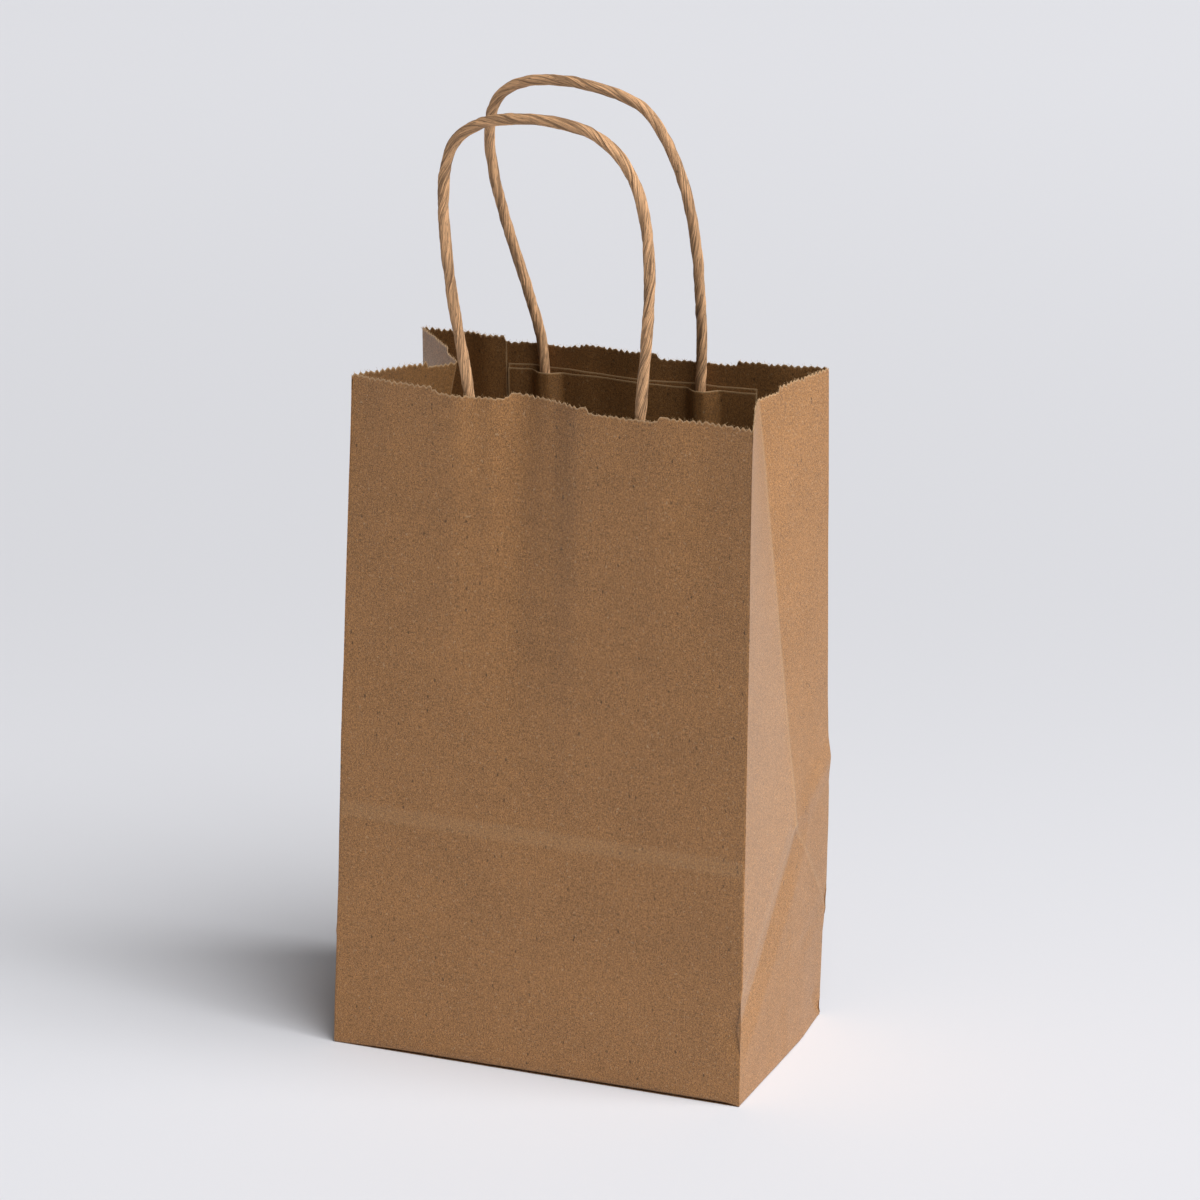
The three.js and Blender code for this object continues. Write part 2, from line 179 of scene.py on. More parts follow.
# Handle routes: distance from the wall's middle, height over the top edge, lean into the bag.
HANDLES = {
    "front": {
        "legs": (-25.8, 29),
        "loop": [
            (-25.8, -14, 0), (-25.9, -9, 0), (-27.4, 0.5, 0), (-29.1, 9, 0), (-32.6, 26, 0),
            (-35.2, 44, 0), (-35.9, 56, 0), (-34.9, 66.5, 0), (-31.6, 74, 0), (-23.4, 79.7, 0),
            (-13.7, 81.8, 0), (-2.5, 82.5, 0), (11.8, 80.5, 0), (20.7, 75.3, 0), (27.2, 66.4, 0),
            (30.7, 54, 0), (31.9, 39.5, 0), (31.3, 21.6, 0), (30.3, 9, 0), (29.5, -2, 0),
            (29.1, -9, 0), (29, -14, 0),
        ],
    },
    "rear": {
        "legs": (-24.5, 27.2),
        "loop": [
            (-24.5, -16, 0), (-24.6, -9.7, 0), (-25.9, 1.5, 0.2), (-28.4, 12, 2), (-30.8, 22.6, 4.4),
            (-35, 38.2, 7.4), (-38, 54, 10.5), (-38.2, 66.7, 12.9), (-35.2, 76.5, 14.8),
            (-28.6, 81.9, 15.9), (-18.6, 84.3, 16.4), (-3.7, 83.8, 16.3), (12.5, 78.6, 15.2),
            (20, 68.5, 13.3), (25.3, 53.7, 10.4), (27.8, 35, 6.8), (28.2, 19.1, 3.7), (27.8, 5, 0.8),
            (27.2, -9.7, 0), (27.2, -16, 0),
        ],
    },
}

# The camera, from its target.
CAMERA = {
    "target": (0.004473, 0.0, 0.139997),
    "azimuth": 21.0374,
    "elevation": 17.1130,
    "roll": 0.6931,
    "distance": 1.45314,
    "lens": 144.154,
}

# About the camera's distance from the bag in metres, measured along the floor.
CAMERA_AHEAD = 1.39

# Broad soft lights: name, strength, spread in degrees, direction from the bag to the light.
LAMPS = (
    ("key_softbox", 2.80, 50, (0.472, -0.236, 0.849)),
    ("low_softbox", 1.54, 40, (0.925, 0.03, 0.375)),
)
SKY_STRENGTH = 0.10

# The floor: half its width, and how far it lies under the bag, both in millimetres.
FLOOR_REACH = 6000.0
FLOOR_DROP = 0.02

# Painted light on the floor: its tone changes between two distances behind the bag, in metres, and grows
# towards the right, up to this share of the distance ahead, standing in for how the lamps fall on it.
FLOOR_LIGHT_FALLOFF = ((-0.12, 0.5, -0.115), (0.5, 1.7, 0.06))
FLOOR_SIDE_LIGHT = 0.17
FLOOR_SIDE = 0.16

# Torn and loose fibres are paler than the face of the paper. The same colour also paints the highlight
# along cut edges.
LIGHT_FIBRE = (0.56, 0.37, 0.20)

# Painted sheen: the front half of the right side is painted a little paler than the rest, standing in
# for the sheen its slanted facet catches. Under the crease its border runs down to the front edge.
PALE_SHEEN = (0.92, 0.74, 0.62)
PALE_FOOT = 22.0
PALE_SLOPE = 0.82

# The grid behind every random surface, and where on it the surface starts.
CLOUD_CELLS = 97
CLOUD_START = (13.37, 7.91)

# The tube's points: steps along each run of the sheet, extra points beside each fold, the lowest
# heights, counts of heights up to the lower fold, the crease and the mouth, and the finer band there.
RUN_STEPS = (18, 50, 84, 50, 74)
FOLD_STEPS = (-0.8, -0.35, -0.15, 0.15, 0.35, 0.8)
FOOT_LEVELS = (0.0, 0.12, 0.35)
LEVEL_COUNTS = (23, 26, 64)
MOUTH_BAND = 5.5
MOUTH_ROWS = 7
MOUTH_FINE = 5

# Points of a strip along it and up it.
STRIP_POINTS = (131, 40)

# Marks in the sheet's third coordinate: the inside of the tube, the base, and both kinds of strip. The
# material paints shade on every face so marked.
INNER_MARK = 40.0
BASE_MARK = 200.0
STRIP_MARKS = {"base": 60.0, "cover": 90.0}


def size_setting(name, description, default, **limits):
    """A size in metres."""
    return FloatProperty(name=name, description=description, default=default, unit="LENGTH", **limits)


def colour_setting(name, description, default):
    """A colour."""
    return FloatVectorProperty(name=name, description=description, default=default, subtype="COLOR")


class CarrierBagSettings(bpy.types.PropertyGroup):
    """Sizes and colours of the bag."""

    width: size_setting("Width", "Outer width of the long walls", 0.133, min=0.11)
    depth: size_setting("Depth", "Outer depth of the sides", 0.080, min=0.05)
    height: size_setting("Height", "Height of the top edge", 0.210, min=0.14)
    paper: size_setting("Paper", "Thickness of one layer of paper", 0.0002)
    cord: size_setting("Cord", "Diameter of the handle cord", 0.0035)
    cord_pitch: size_setting("Cord Pitch", "Length of one turn of the cord", 0.037)
    seed: IntProperty(name="Seed", description="Changes the creases and the torn edge", default=7)
    kraft: colour_setting("Kraft", "Colour of the paper", (0.350, 0.1645, 0.053))
    twine: colour_setting("Twine", "Colour of the cord", (0.68, 0.388, 0.198))
    floor: colour_setting("Floor", "Colour of the floor", (0.769, 0.774, 0.812))


class Value:
    """A socket of a node tree that can be used in arithmetic."""

    def __init__(self, nodes, socket):
        self.nodes = nodes
        self.socket = socket

    def math(self, operation, *others, clamp=False):
        """This value and others through one maths node."""
        names = ("Value", "Value_001", "Value_002")
        inputs = dict(zip(names, (self, *others)))
        return self.nodes.add("ShaderNodeMath", {"operation": operation, "use_clamp": clamp}, inputs)[0]

    def __add__(self, other):
        return self.math("ADD", other)

    __radd__ = __add__

    def __sub__(self, other):
        return self.math("SUBTRACT", other)

    def __rsub__(self, other):
        inputs = {"Value": other, "Value_001": self}
        return self.nodes.add("ShaderNodeMath", {"operation": "SUBTRACT"}, inputs)[0]

    def __mul__(self, other):
        return self.math("MULTIPLY", other)

    def __truediv__(self, other):
        return self.math("DIVIDE", other)

    def __abs__(self):
        return self.math("ABSOLUTE")


class Nodes:
    """Adds nodes to one tree and links them."""

    def __init__(self, tree):
        self.tree = tree
        tree.nodes.clear()

    def add(self, kind, settings=None, inputs=None):
        """A node's outputs: its type, its settings first, then its inputs by identifier."""
        node = self.tree.nodes.new(kind)
        for name, value in (settings or {}).items():
            setattr(node, name, value)
        sockets = {socket.identifier: socket for socket in node.inputs}
        for name, value in (inputs or {}).items():
            self.put(sockets[name], value)
        return [Value(self, socket) for socket in node.outputs if socket.enabled]

    def put(self, socket, value):
        """Links a value to a socket, or sets it there."""
        if isinstance(value, Value):
            self.tree.links.new(value.socket, socket)
        else:
            socket.default_value = value

    def smooth(self, value, low, high, to_low=0.0, to_high=1.0):
        inputs = {"Value": value, "From Min": low, "From Max": high, "To Min": to_low, "To Max": to_high}
        return self.add("ShaderNodeMapRange", {"interpolation_type": "SMOOTHSTEP"}, inputs)[0]

    def fading(self, value, low, high):
        """One up to low, and nothing from high on."""
        return self.smooth(value, low, high, 1.0, 0.0)

    def vector(self, operation, a, b=None, scale=None):
        inputs = {"Vector": a}
        if b is not None:
            inputs["Vector_001"] = b
        if scale is not None:
            inputs["Scale"] = scale
        return self.add("ShaderNodeVectorMath", {"operation": operation}, inputs)[0]

    def mix(self, factor, a, b):
        inputs = {"Factor_Float": factor, "A_Color": colour(a), "B_Color": colour(b)}
        return self.add("ShaderNodeMix", {"data_type": "RGBA", "clamp_factor": True}, inputs)[0]

    def named(self, output, *node):
        """The output of a new node that has this name."""
        return next(value for value in self.add(*node) if value.socket.name == output)

    def attribute(self, name, output="Vector"):
        return self.named(output, "ShaderNodeAttribute", {"attribute_name": name})

    def parts(self, vector):
        return self.add("ShaderNodeSeparateXYZ", None, {"Vector": vector})

    def noise(self, vector, scale, detail=2.0, roughness=0.5, distortion=0.0, output="Fac"):
        inputs = {
            "Vector": vector, "Scale": scale, "Detail": detail,
            "Roughness": roughness, "Distortion": distortion,
        }
        return self.named(output, "ShaderNodeTexNoise", {"noise_dimensions": "3D"}, inputs)

    def cells(self, vector, scale, feature="F1"):
        return self.add("ShaderNodeTexVoronoi", {"feature": feature}, {"Vector": vector, "Scale": scale})

    def segment(self, point, start, end):
        """Distance from a point to a straight piece of line, all in the same plane."""
        start, end = Vector((*start, 0.0)), Vector((*end, 0.0))
        run = end - start
        offset = self.vector("SUBTRACT", point, start)
        both = {"Vector": offset, "Vector_001": run}
        dot = self.add("ShaderNodeVectorMath", {"operation": "DOT_PRODUCT"}, both)[0]
        share = dot.math("DIVIDE", run.length_squared, clamp=True)
        back = self.vector("SCALE", run, scale=share)
        gap = self.vector("SUBTRACT", offset, back)
        return self.add("ShaderNodeVectorMath", {"operation": "LENGTH"}, {"Vector": gap})[0]


def colour(value):
    """A colour socket takes four numbers."""
    if isinstance(value, Value):
        return value
    return (*tuple(value)[:3], 1.0)


def smoothed(share):
    """Eases a share that runs from 0 to 1 at both its ends."""
    share = np.clip(share, 0, 1)
    return share * share * (3 - 2 * share)


def eased(points, at, half):
    """A wave's value between its points, eased from point to point and nothing at the corners."""
    places, values = np.array([(-half, 0.0), *points, (half, 0.0)]).T
    i = np.clip(np.searchsorted(places, at, side="right"), 1, len(places) - 1)
    share = smoothed((at - places[i - 1]) / (places[i] - places[i - 1]))
    return values[i - 1] + (values[i] - values[i - 1]) * share


def clouds(u, v, pitch_u, pitch_v, seed):
    """Smooth random heights between -1 and 1, with hills about one pitch apart."""
    grid = np.random.default_rng(seed).uniform(-1, 1, (CLOUD_CELLS, CLOUD_CELLS))
    x = np.asarray(u) / pitch_u + CLOUD_START[0]
    y = np.asarray(v) / pitch_v + CLOUD_START[1]
    i, j = np.floor(x).astype(int), np.floor(y).astype(int)
    across, up = smoothed(x - i), smoothed(y - j)
    corners = [grid[(i + a) % CLOUD_CELLS, (j + b) % CLOUD_CELLS] for b in (0, 1) for a in (0, 1)]
    low = corners[0] * (1 - across) + corners[1] * across
    high = corners[2] * (1 - across) + corners[3] * across
    return low * (1 - up) + high * up


def bell(distance, width):
    """A soft bump, one at its middle."""
    return np.exp(-((distance / width) ** 2))


def off_segment(u, v, start, end):
    """Distance of points (u, v) from a straight piece of line."""
    point = np.stack(np.broadcast_arrays(u, v), -1) - np.array(start, float)
    run = np.subtract(end, start).astype(float)
    share = np.clip(point @ run / (run @ run), 0, 1)
    return np.linalg.norm(point - share[..., None] * run, axis=-1)


class BagShape:
    """The bag's outer face, worked out in millimetres."""

    def __init__(self, settings):
        self.width = settings.width / MM
        self.depth = settings.depth / MM
        self.height = settings.height / MM
        self.paper = settings.paper / MM
        self.cord = settings.cord / MM
        self.seed = settings.seed
        self.gap = GLUE_GAP
        self.upper = self.depth - CREASE_SETBACK
        self.lower = self.upper - self.depth / 2
        self.lap_run = self.width / 2 + SEAM_EDGE
        self.rear_run = self.width / 2 - (SEAM_EDGE - SEAM_WIDTH)
        runs = [0, self.lap_run, self.depth, self.width, self.depth, self.rear_run]
        self.stops = np.cumsum(runs)
        self.cord_seat = 2 * self.paper + 2 * self.gap + self.cord / 2

    def corner(self, name, z):
        """A corner of the tube at a height, seen from above."""
        side = np.array([-1 if "left" in name else 1, -1 if "front" in name else 1])
        base = side * (self.width, self.depth) / 2
        return base + np.array(MOUTH_SHIFT[name]) * (np.asarray(z, float) / self.height)[..., None]

    def risen(self, z):
        """How far a height has come from the crease to the top edge."""
        return np.clip((z - self.upper) / (self.height - self.upper), 0, None)

    def chord(self, first, last, share, z):
        """A point between two corners, seen from above."""
        share = share[..., None]
        return self.corner(first, z) * (1 - share) + self.corner(last, z) * share

    def wall_line(self, name, along, z, step):
        """A point of a long wall, seen from above, this far inside the chord of its corners."""
        level = np.minimum(z, self.height)
        point = self.chord(name + "_left", name + "_right", along / self.width + 0.5, level)
        point[..., 1] += step if name == "front" else -step
        return point

    def wall(self, name, along, z, inset=0.0):
        """A point of a waved long wall, as far inside it as inset says."""
        waves = eased(WAVES[name], along, self.width / 2) * self.risen(z) ** WAVE_POWER
        return self.wall_line(name, along, z, waves + inset)

    def on_front(self, s):
        """Whether a distance round the sheet lies on the front wall."""
        return (s > self.stops[2]) & (s < self.stops[3])

    def side(self, name, share, z):
        """A point of a side wall, walked with the inside of the bag on the left."""
        first, last = ("front_", "rear_") if name == "right" else ("rear_", "front_")
        point = self.chord(first + name, last + name, share, z)
        off = np.abs(2 * share - 1)
        crease = np.array(GUSSETS[name]["crease"])
        top = np.array(GUSSETS[name]["top"])
        above = crease + (top - crease) * self.risen(z)[..., None]
        start = self.upper - off * self.depth / 2
        below = crease * np.minimum(1, z / start)[..., None]
        step = np.where((z >= self.upper)[..., None], above, below) * (1 - off)[..., None]
        point[..., 0] += step[..., 0] * (-1 if name == "right" else 1)
        point[..., 1] += step[..., 1]
        return point

    def sheet(self, s, z):
        """The tube's outer face at a distance s round the sheet and a height z."""
        s, z = np.broadcast_arrays(np.clip(s, 0, self.stops[-1]), z)
        half = self.width / 2
        local = [s - stop for stop in self.stops[:-1]]
        lap = np.clip((local[0] - SEAM_WIDTH) / LAP_STEP, 0, 1)
        faces = [
            self.wall("rear", SEAM_EDGE - local[0], z, (self.paper + LAP_AIR) * (1 - lap)),
            self.side("left", np.clip(local[1] / self.depth, 0, 1), z),
            self.wall("front", local[2] - half, z),
            self.side("right", np.clip(local[3] / self.depth, 0, 1), z),
            self.wall("rear", half - local[4], z),
        ]
        which = np.clip(np.searchsorted(self.stops, s, side="right") - 1, 0, 4)
        plan = np.select([(which == i)[..., None] for i in range(5)], faces)
        return np.concatenate([plan, z[..., None]], -1)

    def rounded(self, s, z):
        """The same face with its folds a little rounded and its rear right edge out of true."""
        steps = np.linspace(-FOLD_ROUND, FOLD_ROUND, 5)
        point = np.mean([self.sheet(s + step, z) for step in steps], axis=0)
        near = smoothed(1 - np.abs(s - self.stops[4]) / EDGE_REACH)
        point[..., 0] += np.interp(z, *EDGE_SHIFT) * near
        return point

    def flat(self, s):
        """Signed distance from the middle of the flat tube, and how much of a side's dip applies."""
        half = self.width / 2
        place = np.interp(s, self.stops, [SEAM_EDGE, -half, -half, half, half, SEAM_EDGE - SEAM_WIDTH])
        dip = np.zeros_like(s)
        for first, name, sign in ((1, "left", -1), (3, "right", 1)):
            start, stop = self.stops[first], self.stops[first + 1]
            inside = (s >= start) & (s <= stop)
            near = 1 - np.abs(2 * (s - start) / self.depth - 1)
            place = np.where(inside, sign * (half - near * self.depth / 2), place)
            dip = np.where(inside, near * GUSSETS[name]["dip"], dip)
        return place, dip

    def cut(self, s):
        """Height of the cut edge."""
        place, dip = self.flat(s)
        edge = np.abs(place)
        width = np.where(self.on_front(s), *LOW_CUT_EASE)
        low = np.clip((edge - LOW_CUT[0]) / width, 0, 1) * np.clip((LOW_CUT[1] - edge) / width, 0, 1)
        tooth = np.abs((place / TOOTH_PITCH) % 1 - 0.5) * 2
        rough = clouds(s, 0 * s, ROUGH_CUT_PITCH, 1.0, self.seed + 1) * ROUGH_CUT + 0.95
        depth = TOOTH_DEPTH + (LOW_TOOTH_DEPTH - TOOTH_DEPTH) * low
        fuzz = clouds(s, 0 * s, FUZZ_PITCH, 1.0, self.seed + 2) * FUZZ
        drop = low * LOW_CUT_DROP + tooth * depth * rough + dip + fuzz
        for wall, along, reach, rise in TORN:
            drop = drop - rise * bell(s - self.reach_of(wall, along), reach)
        return self.height - np.maximum(drop, 0)

    def reach_of(self, wall, along):
        """Distance round the sheet of a place on a long wall."""
        if wall == "front":
            return self.stops[2] + self.width / 2 + along
        return self.stops[4] + self.width / 2 - along

    def folds(self):
        """The creases that the flat fold leaves: ends round the sheet and in height, and strength."""
        made = []
        for first in (1, 3):
            start, stop = self.stops[first], self.stops[first + 1]
            middle = (start + stop) / 2
            made += [
                ((start, self.lower), (middle, self.upper), 1.0),
                ((stop, self.lower), (middle, self.upper), 1.0),
                ((start, self.lower), (stop, self.lower), 0.35),
                ((middle, self.upper), (middle, self.height), 1.3),
            ]
        return made

    def ripple(self, s, z):
        """Slow hills of the paper, wilder at the foot."""
        out = 0.0
        for turn, (height, wide, long) in enumerate(RIPPLES):
            out = out + height * clouds(s, z, wide, long, self.seed + 3 + turn)
        height, wide, long = FOOT_RIPPLE
        foot = np.clip(1 - z / FOOT_RIPPLE_TOP, 0, 1)
        return out + foot * height * clouds(s, z, wide, long, self.seed + 6)

    def relief(self, s, z):
        """How far the paper stands out from the plain shape. Both layers of the lap ripple alike."""
        free = np.clip((s - SEAM_WIDTH) / LAP_BLEND, 0, 1)
        over = s + self.stops[-1] - SEAM_WIDTH
        out = self.ripple(s, z) * free + self.ripple(over, z) * (1 - free)
        for start, end, strength in self.folds():
            out = out + FOLD_HEIGHT * strength * bell(off_segment(s, z, start, end), FOLD_REACH)
        for first, last, height, reach in DENTS:
            ends = [(self.stops[3] + share * self.depth, at) for share, at in (first, last)]
            out = out + height * np.clip(1 - off_segment(s, z, *ends) / reach, 0, None)
        ledge = smoothed((z - (self.upper - LEDGE_START)) / LEDGE_LENGTH)
        out = out - np.where(self.on_front(s), LEDGE_DEPTH * ledge, 0)
        return out * np.clip(z / RELIEF_START, 0, 1)

    def lift(self, s):
        """How far the front wall's foot stands off the floor, over the edge of the base."""
        across = np.clip((s - self.stops[2]) / self.width, 0, 1)
        left, right = FOOT_LIFT_EASE
        return FOOT_LIFT * np.clip(across / left, 0, 1) * np.clip((1 - across) / right, 0, 1)

    def strip(self, name, along, up, lift, rise=0.0):
        """Points of a strip's outer face inside a wall."""
        z = self.height + up
        plan = self.wall(name, along, z, self.paper + lift + rise)
        return np.concatenate([plan, z[..., None]], -1)

    def cover_rise(self, name, along, up):
        """How far the cover strip swells over the cords."""
        top = CORD_END - self.gap
        foot = CORD_END - BUMP_RAMP
        begun = smoothed((up - foot) / (top - foot))
        half = self.width / 2
        rises = [np.zeros(np.broadcast(along, up).shape)]
        for leg in HANDLES[name]["legs"]:
            off = smoothed((np.abs(along - leg) / BUMP_REACH - BUMP_FLAT) / (1 - BUMP_FLAT))
            level = eased(WAVES[name], np.array(float(leg)), half) - eased(WAVES[name], along, half)
            level = level * self.risen(self.height + up) ** WAVE_POWER
            rises.append((1 - off) * begun * (level + self.cord + self.gap))
        return np.max(rises, axis=0)

    def handle(self, name):
        """Points of a handle's centre line."""
        left, right = HANDLES[name]["legs"]
        loop = HANDLES[name]["loop"]
        half = (CORD_END + loop[0][1]) / 2
        route = [(left, CORD_END, 0), (left, half, 0), *loop, (right, half, 0), (right, CORD_END, 0)]
        along, up, lean = np.array(route, float).T
        z = self.height + up
        waves = eased(WAVES[name], np.array([left, right], float), self.width / 2)
        settled = between(*waves, left, right, along)
        step = settled * np.minimum(self.risen(z), 1) ** WAVE_POWER + self.cord_seat + lean
        plan = self.wall_line(name, along, z, step)
        return centripetal(np.concatenate([plan, z[:, None]], -1), 10)


def between(a, b, start, stop, t):
    """Where a straight walk stands at the time t that leaves a at start and reaches b at stop."""
    share = (t - start) / (stop - start)
    return (1 - share) * a + share * b


def centripetal(points, steps):
    """A smooth line through points, its knots spaced by the square root of their distance."""
    points = np.vstack([2 * points[0] - points[1], points, 2 * points[-1] - points[-2]])
    knots = np.cumsum([0, *np.linalg.norm(np.diff(points, axis=0), axis=1) ** 0.5])
    made = []
    for i in range(len(points) - 3):
        p, k = points[i:i + 4], knots[i:i + 4]
        t = np.linspace(k[1], k[2], steps, endpoint=False)[:, None]
        legs = [between(p[j], p[j + 1], k[j], k[j + 1], t) for j in range(3)]
        bends = [between(legs[j], legs[j + 1], k[j], k[j + 2], t) for j in range(2)]
        made.append(between(*bends, k[1], k[2], t))
    return np.vstack([*made, points[-2:-1]])


def vertex_normals(points, triangles):
    """Outward directions at the points, weighted by the area of the faces around them."""
    a, b, c = (points[triangles[:, i]] for i in range(3))
    faces = np.cross(b - a, c - a)
    normals = np.zeros_like(points)
    for i in range(3):
        np.add.at(normals, triangles[:, i], faces)
    return normals / np.maximum(np.linalg.norm(normals, axis=1), 1e-12)[:, None]


def thicken(points, triangles, thickness):
    """A closed sheet whose front is the triangles as given and whose back lies behind them."""
    count = len(points)
    back = points - vertex_normals(points, triangles) * thickness
    edges = np.concatenate([triangles[:, [0, 1]], triangles[:, [1, 2]], triangles[:, [2, 0]]])
    keys = edges[:, 0] * count + edges[:, 1]
    rim = edges[~np.isin(keys, edges[:, 1] * count + edges[:, 0])]
    first, second = rim.T
    sides = [np.stack([second, first, first + count], 1)]
    sides.append(np.stack([second, first + count, second + count], 1))
    faces = np.concatenate([triangles, triangles[:, ::-1] + count, *sides])
    return np.concatenate([points, back]), faces


def grid_triangles(rows, columns, falling=None):
    """Triangles of a grid of points, rows upwards. falling marks cells cut by their other diagonal."""
    r, c = np.meshgrid(np.arange(rows - 1), np.arange(columns - 1), indexing="ij")
    a = r * columns + c
    b, d = a + 1, a + columns
    e = d + 1
    if falling is None:
        falling = np.zeros(a.shape, bool)
    rising = [np.stack([a, b, e], -1), np.stack([a, e, d], -1)]
    fallen = [np.stack([a, b, d], -1), np.stack([b, e, d], -1)]
    picked = [np.where(falling[..., None], two, one) for one, two in zip(rising, fallen)]
    return np.concatenate([part.reshape(-1, 3) for part in picked])


def linked(name, data):
    """An object of the scene that shows this data."""
    made = bpy.data.objects.new(name, data)
    bpy.context.scene.collection.objects.link(made)
    return made


def new_object(name, points, faces, attributes=None, edges=()):
    """A mesh object in metres with values on its points."""
    mesh = bpy.data.meshes.new(name)
    mesh.from_pydata((np.asarray(points) * MM).tolist(), list(edges), np.asarray(faces).tolist())
    for key, values in (attributes or {}).items():
        values = np.asarray(values, np.float32)
        kind = "FLOAT_VECTOR" if values.ndim == 2 else "FLOAT"
        layer = mesh.attributes.new(key, kind, "POINT")
        layer.data.foreach_set("vector" if values.ndim == 2 else "value", values.ravel())
    return linked(name, mesh)


def new_line(name, points):
    """A line object through points."""
    places = np.arange(len(points))
    return new_object(name, points, [], None, np.stack([places[:-1], places[1:]], 1).tolist())


def finish_piece(piece, material, slot, *stands_for, sharp=40.0):
    """Gives a piece its material and its place in the frame."""
    mesh = piece.data
    mesh.materials.clear()
    mesh.materials.append(material)
    mesh.shade_smooth()
    mesh.set_sharp_from_angle(angle=radians(sharp))
    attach(piece, "root")
    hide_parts(*stands_for)


def converted(source, name):
    """The evaluated mesh of an object with a modifier, as an object of its own."""
    graph = bpy.context.evaluated_depsgraph_get()
    mesh = bpy.data.meshes.new_from_object(
        source.evaluated_get(graph), preserve_all_data_layers=True, depsgraph=graph
    )
    mesh.name = name
    old = source.data
    bpy.data.objects.remove(source)
    bpy.data.meshes.remove(old)
    if not mesh.polygons:
        raise RuntimeError(name + " came out empty")
    return linked(name, mesh)


def node_group(name, inputs):
    """An empty geometry tree with named inputs."""
    tree = bpy.data.node_groups.new(name, "GeometryNodeTree")
    nodes = Nodes(tree)
    tree.interface.new_socket("Geometry", in_out="INPUT", socket_type="NodeSocketGeometry")
    for label, (kind, default) in inputs.items():
        socket = tree.interface.new_socket(label, in_out="INPUT", socket_type=kind)
        if default is not None:
            socket.default_value = default
    tree.interface.new_socket("Geometry", in_out="OUTPUT", socket_type="NodeSocketGeometry")
    given = nodes.tree.nodes.new("NodeGroupInput")
    values = {socket.name: Value(nodes, socket) for socket in given.outputs if socket.name}
    return tree, nodes, values


def close_group(nodes, geometry, material):
    """Ends a geometry tree in real geometry with its material."""
    real = nodes.add("GeometryNodeRealizeInstances", None, {"Geometry": geometry})[0]
    coated = nodes.add("GeometryNodeSetMaterial", None, {"Geometry": real, "Material": material})[0]
    end = nodes.tree.nodes.new("NodeGroupOutput")
    nodes.put(end.inputs[0], coated)


def run_group(source, tree, values):
    """Puts a geometry tree on an object with these values."""
    modifier = source.modifiers.new(tree.name, "NODES")
    modifier.node_group = tree
    for item in tree.interface.items_tree:
        if item.in_out == "INPUT" and item.name in values:
            modifier[item.identifier] = values[item.name]


def even_curve(nodes, given, step):
    """The given line as a curve with its points at even steps."""
    line = nodes.add("GeometryNodeMeshToCurve", None, {"Mesh": given["Geometry"]})[0]
    inputs = {"Curve": line, "Length": given[step]}
    return nodes.add("GeometryNodeResampleCurve", {"mode": "LENGTH"}, inputs)[0]


def stored(nodes, geometry, name, value, kind="FLOAT_VECTOR"):
    """The geometry with a value kept on its points."""
    inputs = {"Geometry": geometry, "Name": name, "Value": value}
    settings = {"data_type": kind, "domain": "POINT"}
    return nodes.add("GeometryNodeStoreNamedAttribute", settings, inputs)[0]


def swept(nodes, path, ring):
    """A closed tube: a ring carried along a path."""
    inputs = {"Curve": path, "Profile Curve": ring, "Fill Caps": True}
    return nodes.add("GeometryNodeCurveToMesh", None, inputs)[0]


def cord_group():
    """Twists a lobed profile along a line and marks each point with its place in the twist."""
    tree, nodes, given = node_group("Twisted Cord", {
        "Diameter": ("NodeSocketFloat", 3.5 * MM),
        "Pitch": ("NodeSocketFloat", 37 * MM),
        "Groove": ("NodeSocketFloat", 0.12),
        "Step": ("NodeSocketFloat", 0.5 * MM),
        "Seed": ("NodeSocketFloat", 0.0),
        "Material": ("NodeSocketMaterial", None),
    })
    even = even_curve(nodes, given, "Step")
    length = nodes.add("GeometryNodeSplineParameter")[1]
    turn = length / given["Pitch"] * (2 * pi)
    wander = nodes.add("ShaderNodeTexNoise", {"noise_dimensions": "1D"}, {
        "W": length * 60.0 + given["Seed"], "Scale": 1.0, "Detail": 1.0,
    })[0]
    tilted = nodes.add("GeometryNodeSetCurveTilt", None, {"Curve": even, "Tilt": turn + wander * 1.6})[0]
    path = stored(nodes, tilted, "along", length, "FLOAT")
    circle = nodes.add("GeometryNodeCurvePrimitiveCircle", {"mode": "RADIUS"}, {
        "Resolution": 44, "Radius": given["Diameter"] / 2,
    })[0]
    place = nodes.add("GeometryNodeInputPosition")[0]
    seeded = nodes.vector("ADD", place, nodes.add("ShaderNodeCombineXYZ", None, {"Z": given["Seed"]})[0])
    fold = nodes.cells(seeded, 640.0, "DISTANCE_TO_EDGE")[0]
    groove = 1.0 - nodes.smooth(fold, 0.0, 0.22)
    lobe = nodes.noise(seeded, 420.0, 1.0)
    size = 1.0 - groove * given["Groove"] + (lobe - 0.5) * 0.20
    shaped = nodes.add("GeometryNodeSetPosition", None, {
        "Geometry": circle, "Position": nodes.vector("SCALE", place, scale=size),
    })[0]
    tube = swept(nodes, path, stored(nodes, shaped, "around", place))
    around, along = (
        nodes.add("GeometryNodeInputNamedAttribute", {"data_type": kind}, {"Name": name})[0]
        for kind, name in (("FLOAT_VECTOR", "around"), ("FLOAT", "along"))
    )
    x, y, _ = nodes.parts(around)
    lay = nodes.add("ShaderNodeCombineXYZ", None, {"X": x, "Y": y, "Z": along})[0]
    laid = stored(nodes, tube, "lay", lay)
    squeezed = nodes.vector("MULTIPLY", lay, (1.0, 1.0, 0.35))
    moved = nodes.add("ShaderNodeCombineXYZ", None, {"X": given["Seed"]})[0]
    swell = nodes.noise(nodes.vector("ADD", squeezed, moved), 700.0, 2.0)
    outwards = nodes.add("GeometryNodeInputNormal")[0]
    worn = nodes.add("GeometryNodeSetPosition", None, {
        "Geometry": laid,
        "Offset": nodes.vector("SCALE", outwards, scale=(swell - 0.56) * given["Diameter"] * 0.09),
    })[0]
    close_group(nodes, worn, given["Material"])
    return tree


